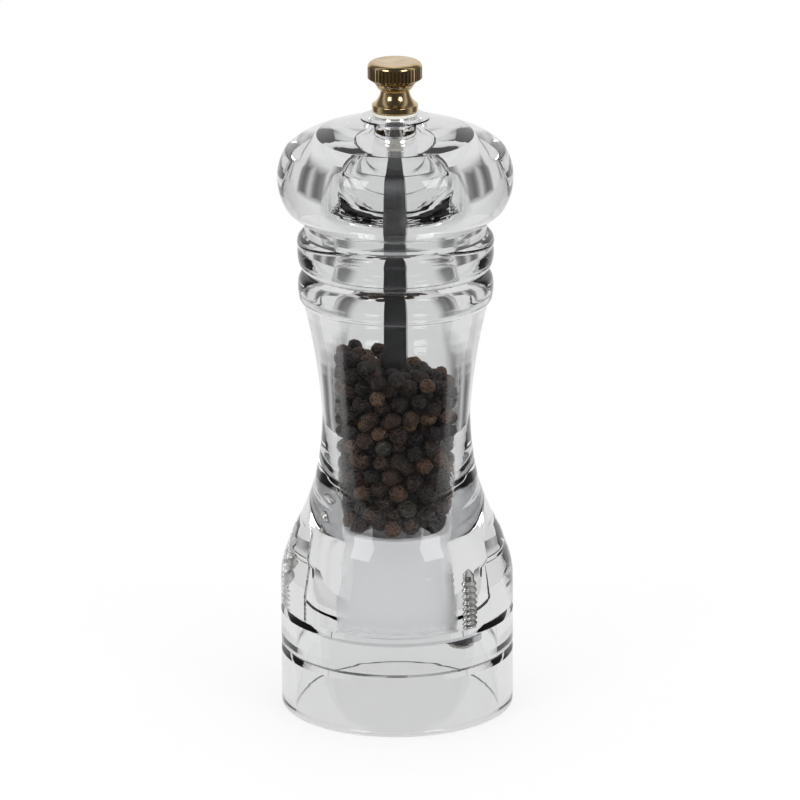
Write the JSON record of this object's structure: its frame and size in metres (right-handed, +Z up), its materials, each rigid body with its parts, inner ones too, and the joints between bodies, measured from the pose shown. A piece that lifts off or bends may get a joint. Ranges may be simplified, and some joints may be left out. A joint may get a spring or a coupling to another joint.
{
  "type": "pepper mill",
  "caption": "Hand-turned pepper mill with a waisted clear acrylic barrel, bun-shaped clear head, small knurled brass knob, square drive rod and cone grinder, filled with whole peppercorns.",
  "frame": {"origin": "centre of the foot, on the surface that the mill stands on", "axes": "+Z up the mill's axis, -Y to the front, +X to the right seen from the front"},
  "size_m": [0.057, 0.057, 0.1616],
  "materials": {
    "acrylic": "polished clear acrylic",
    "antique_brass": "lacquered antique brass",
    "pale_nylon": "natural nylon",
    "white_nylon": "moulded white nylon",
    "rod_steel": "drawn bright steel",
    "hard_steel": "hardened steel",
    "spring_steel": "spring steel",
    "zinc_screw": "bright zinc plate",
    "peppercorn": "dried, wrinkled"
  },
  "bodies": {
    "mill_body": {"barrel": "acrylic", "mill_housing": "white_nylon", "grinding_ring": "hard_steel", "retaining_bar": "rod_steel", "plate_screws": "zinc_screw", "peppercorns": "peppercorn"},
    "bush": {"guide_bush": "white_nylon"},
    "rod": {"drive_rod": "rod_steel", "grinding_cone": "hard_steel", "thrust_washer": "spring_steel", "retaining_clip": "spring_steel", "spring": "spring_steel"},
    "head": {"head": "acrylic"},
    "washer": {"knob_washer": "pale_nylon"},
    "knob": {"knob": "antique_brass"}
  },
  "joints": [
    {"name": "grind_turn", "type": "hinge", "parent": "mill_body", "child": "bush", "pos_m": [0, 0, 0.04], "axis": [0, 0, 1], "continuous": true},
    {"name": "grind_setting", "type": "slide", "parent": "bush", "child": "rod", "axis": [0, 0, 1], "range_m": [-0.0008, 0.0008], "deforming": ["spring"]},
    {"name": "head_lift", "type": "slide", "parent": "bush", "child": "head", "axis": [0, 0, 1], "range_m": [0, 0.045]},
    {"name": "knob_lift", "type": "slide", "parent": "head", "child": "washer", "axis": [0, 0, 1], "range_m": [0, 0.012]},
    {"name": "knob_turn", "type": "hinge", "parent": "washer", "child": "knob", "pos_m": [0, 0, 0.1495], "axis": [0, 0, 1], "range_deg": [-360, 360]}
  ],
  "couplings": [
    {"joint": "knob_turn", "follows": "grind_setting", "rad_per_m": -7854}
  ]
}
